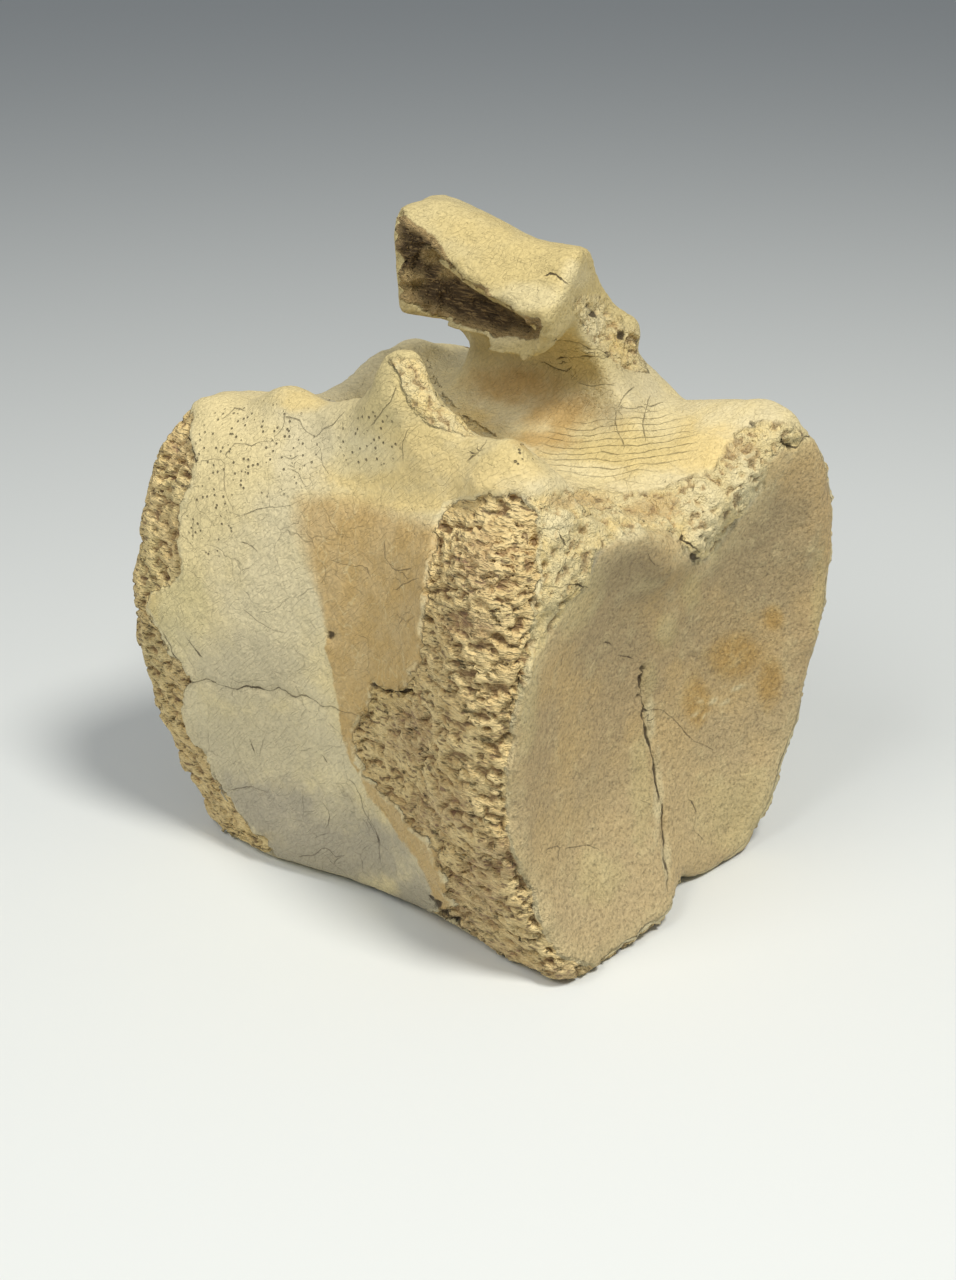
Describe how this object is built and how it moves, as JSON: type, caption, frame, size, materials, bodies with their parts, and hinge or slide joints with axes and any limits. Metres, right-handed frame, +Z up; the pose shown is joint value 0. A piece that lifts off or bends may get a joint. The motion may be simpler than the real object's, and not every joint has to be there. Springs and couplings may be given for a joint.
{
  "type": "fossil hadrosaur vertebra",
  "caption": "Life-size fossil hadrosaur back vertebra in one solid: drum-shaped centrum with dished ends, one side of its neural arch kept and the other broken to a stump.",
  "frame": {"origin": "middle of the bounding box, on the surface that the bone stands on", "axes": "+Z up out of the neural canal, -Y out of the centrum's front face, +X towards the side whose half of the neural arch survives"},
  "size_m": [0.1158, 0.1204, 0.1402],
  "materials": {
    "fossil_bone": "matte, weathered mineralised bone, pale cortex over ochre spongy bone"
  },
  "bodies": {
    "root": {"vertebra": "fossil_bone"}
  },
  "joints": []
}
